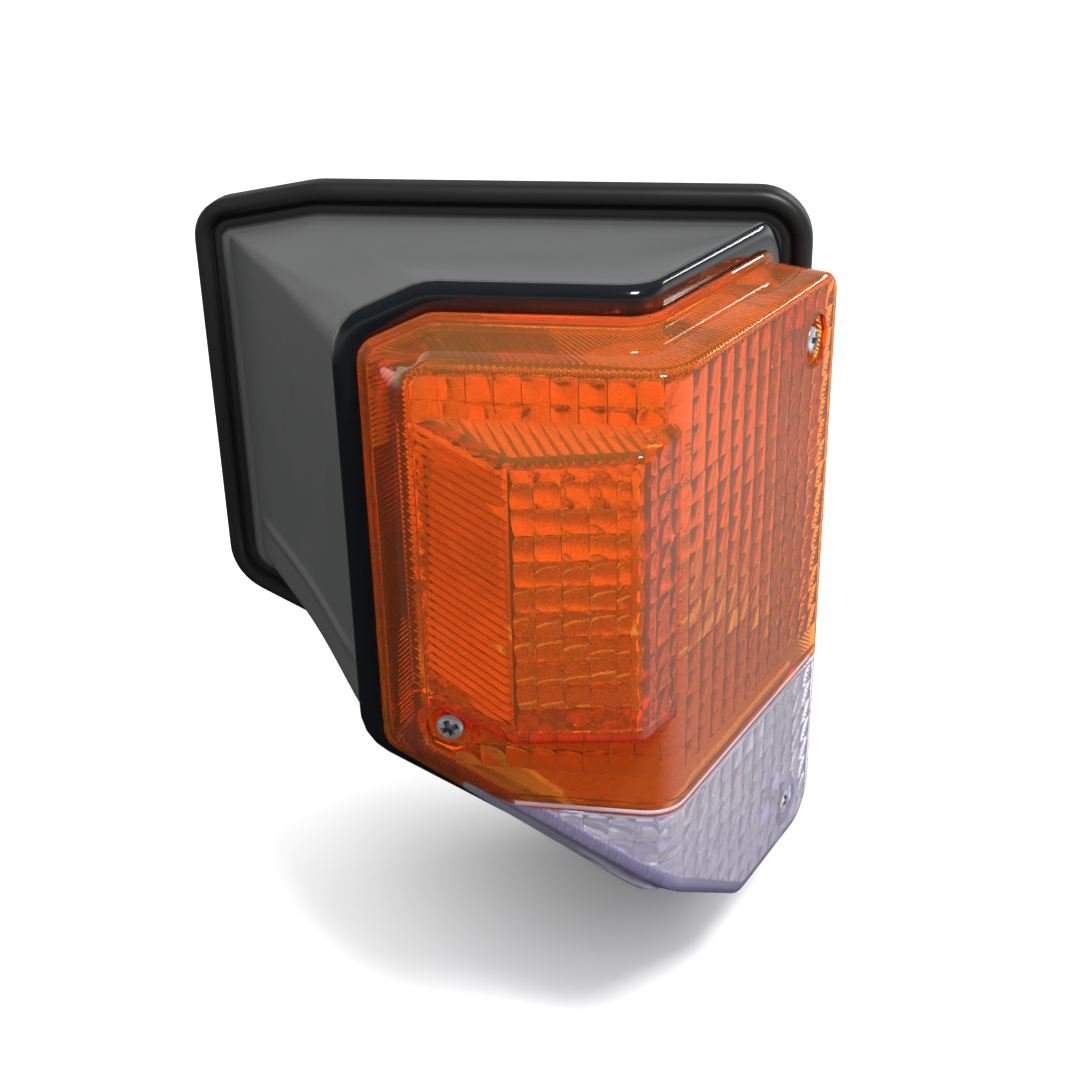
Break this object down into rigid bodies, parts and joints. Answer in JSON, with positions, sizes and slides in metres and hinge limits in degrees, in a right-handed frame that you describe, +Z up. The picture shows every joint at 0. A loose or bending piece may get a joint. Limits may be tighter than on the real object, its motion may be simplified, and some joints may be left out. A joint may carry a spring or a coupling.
{
  "type": "vehicle front corner lamp",
  "caption": "Front corner lamp for an off-road car: amber turn lens over a clear parking lens in a flared black housing with a sealed mounting flange.",
  "frame": {"origin": "on the rear face of the cover plate, which lies against the car body", "axes": "+Z up, the lamp faces -Y, +X points outboard to the side face of the lens"},
  "size_m": [0.2184, 0.1958, 0.2413],
  "materials": {
    "amber_lens": "clear amber acrylic, fluted and prismed inside",
    "clear_lens": "clear acrylic with a faint violet cast",
    "black_satin": "satin moulded plastic",
    "black_gloss": "gloss",
    "black_rubber": "smooth rubber",
    "silvered_plastic": "silvered reflector plastic",
    "insulator": "moulded insulator",
    "bulb_glass": "clear glass",
    "nickel": "nickel plate",
    "zinc_steel": "bright zinc plate",
    "brass": "plain brass",
    "spring_steel": "plain wire"
  },
  "bodies": {
    "housing": {"housing_shell": "black_satin", "lens_rim": "black_gloss", "flange_seal": "black_rubber", "rear_cover": "zinc_steel", "amber_lens": "amber_lens", "clear_lens": "clear_lens", "stud_upper_inner": "zinc_steel", "stud_upper_outer": "zinc_steel", "stud_lower": "zinc_steel", "stud_washer_upper_inner": "zinc_steel", "stud_washer_upper_outer": "zinc_steel", "stud_washer_lower": "zinc_steel", "wire_grommet": "black_rubber", "breather": "black_rubber", "reflector_tray": "silvered_plastic", "light_divider": "silvered_plastic", "turn_socket": "nickel", "turn_socket_base": "insulator", "turn_terminal": "brass", "park_socket": "nickel", "park_socket_base": "insulator", "park_terminal": "brass", "screw_insert_front": "brass", "screw_insert_side_upper": "brass", "screw_insert_side_lower": "brass"},
    "turn_contact": {"turn_contact_disc": "insulator", "turn_contact_spring": "spring_steel"},
    "turn_bulb": {"turn_bulb_cap": "nickel", "turn_bulb_glass": "bulb_glass", "turn_filament": "spring_steel"},
    "park_contact": {"park_contact_disc": "insulator", "park_contact_spring": "spring_steel"},
    "park_bulb": {"park_bulb_cap": "nickel", "park_bulb_glass": "bulb_glass", "park_filament": "spring_steel"},
    "screw_front": {"lens_screw_front": "zinc_steel"},
    "screw_side_upper": {"lens_screw_side_upper": "zinc_steel"},
    "screw_side_lower": {"lens_screw_side_lower": "zinc_steel"},
    "nut_upper_inner": {"stud_nut_upper_inner": "zinc_steel"},
    "nut_upper_outer": {"stud_nut_upper_outer": "zinc_steel"},
    "nut_lower": {"stud_nut_lower": "zinc_steel"}
  },
  "joints": [
    {"name": "turn_contact_push", "type": "slide", "parent": "housing", "child": "turn_contact", "axis": [-0.5, 0.866, 0], "range_m": [0, 0.0015], "stiffness_N_per_m": 3000, "springref_m": -0.003},
    {"name": "turn_bulb_twist", "type": "hinge", "parent": "turn_contact", "child": "turn_bulb", "pos_m": [0.03646, -0.044, 0.035], "axis": [0.5, -0.866, 0], "range_deg": [0, 15]},
    {"name": "park_contact_push", "type": "slide", "parent": "housing", "child": "park_contact", "axis": [-0.5, 0.866, 0], "range_m": [0, 0.0015], "stiffness_N_per_m": 3000, "springref_m": -0.003},
    {"name": "park_bulb_twist", "type": "hinge", "parent": "park_contact", "child": "park_bulb", "pos_m": [0.05205, -0.035, -0.056], "axis": [0.5, -0.866, 0], "range_deg": [0, 15]},
    {"name": "lens_screw_front_turn", "type": "hinge", "parent": "housing", "child": "screw_front", "pos_m": [0.0116, -0.15, -0.0081], "axis": [0, -1, 0], "continuous": true},
    {"name": "lens_screw_side_upper_turn", "type": "hinge", "parent": "housing", "child": "screw_side_upper", "pos_m": [0.10769, -0.06224, 0.08], "axis": [0.9336, -0.3584, 0], "continuous": true},
    {"name": "lens_screw_side_lower_turn", "type": "hinge", "parent": "housing", "child": "screw_side_lower", "pos_m": [0.10625, -0.06598, -0.08], "axis": [0.9336, -0.3584, 0], "continuous": true},
    {"name": "nut_upper_inner_turn", "type": "hinge", "parent": "housing", "child": "nut_upper_inner", "pos_m": [-0.072, 0.0072, 0.082], "axis": [0, 1, 0], "continuous": true},
    {"name": "nut_upper_outer_turn", "type": "hinge", "parent": "housing", "child": "nut_upper_outer", "pos_m": [0.062, 0.0072, 0.082], "axis": [0, 1, 0], "continuous": true},
    {"name": "nut_lower_turn", "type": "hinge", "parent": "housing", "child": "nut_lower", "pos_m": [0.058, 0.0072, -0.096], "axis": [0, 1, 0], "continuous": true}
  ]
}
